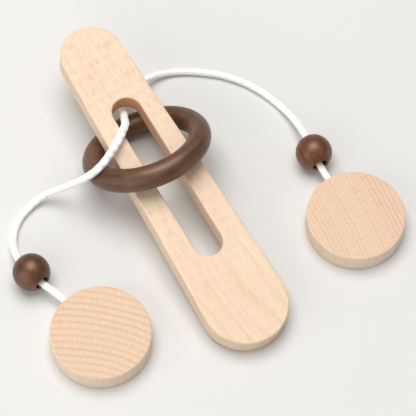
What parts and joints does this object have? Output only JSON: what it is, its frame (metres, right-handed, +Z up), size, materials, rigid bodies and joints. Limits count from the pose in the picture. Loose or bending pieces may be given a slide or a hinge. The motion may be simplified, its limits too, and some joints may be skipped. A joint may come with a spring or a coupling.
{
  "type": "wooden ring and cord disentanglement puzzle",
  "caption": "Wooden disentanglement puzzle: a tapered slotted board held in a ring, with a cord through the slot that carries round beads and ends in flat discs.",
  "frame": {"origin": "middle of the puzzle's footprint, on the surface that it lies on", "axes": "+Z up; +X along the board from its narrow end, which is raised, to its wide end, which rests on the surface; +Y to the side of the right disc"},
  "size_m": [0.152, 0.1542, 0.0342],
  "materials": {
    "pale_beech": "smooth sanded, thin matt lacquer",
    "disc_wood": "smooth sanded, thin matt lacquer",
    "dark_stained_wood": "turned, dark brown stain, satin lacquer",
    "red_stained_wood": "turned, red-brown stain, satin lacquer",
    "white_cord": "soft twisted and braided cotton"
  },
  "bodies": {
    "board": {"board": "pale_beech", "cord": "white_cord"},
    "ring": {"ring": "dark_stained_wood"},
    "bead_left": {"bead_left": "red_stained_wood"},
    "bead_right": {"bead_right": "red_stained_wood"},
    "disc_left": {"disc_left": "disc_wood"},
    "disc_right": {"disc_right": "disc_wood"}
  },
  "joints": [
    {"name": "ring_slide", "type": "slide", "parent": "board", "child": "ring", "axis": [0.9914, 0, -0.1305], "range_m": [0, 0.01]},
    {"name": "bead_left_slide", "type": "slide", "parent": "board", "child": "bead_left", "axis": [0.9781, 0.2079, 0], "range_m": [0, 0.003], "deforming": ["cord"]},
    {"name": "bead_right_slide", "type": "slide", "parent": "board", "child": "bead_right", "axis": [-0.9903, 0.1392, 0], "range_m": [0, 0.004], "deforming": ["cord"]},
    {"name": "disc_left_swing", "type": "hinge", "parent": "board", "child": "disc_left", "pos_m": [0.01655, -0.06295, 0.00566], "axis": [0, 0, 1], "range_deg": [-30, 30], "deforming": ["cord"]},
    {"name": "disc_right_swing", "type": "hinge", "parent": "board", "child": "disc_right", "pos_m": [0.02417, 0.05778, 0.00512], "axis": [0, 0, 1], "range_deg": [-30, 30], "deforming": ["cord"]}
  ]
}
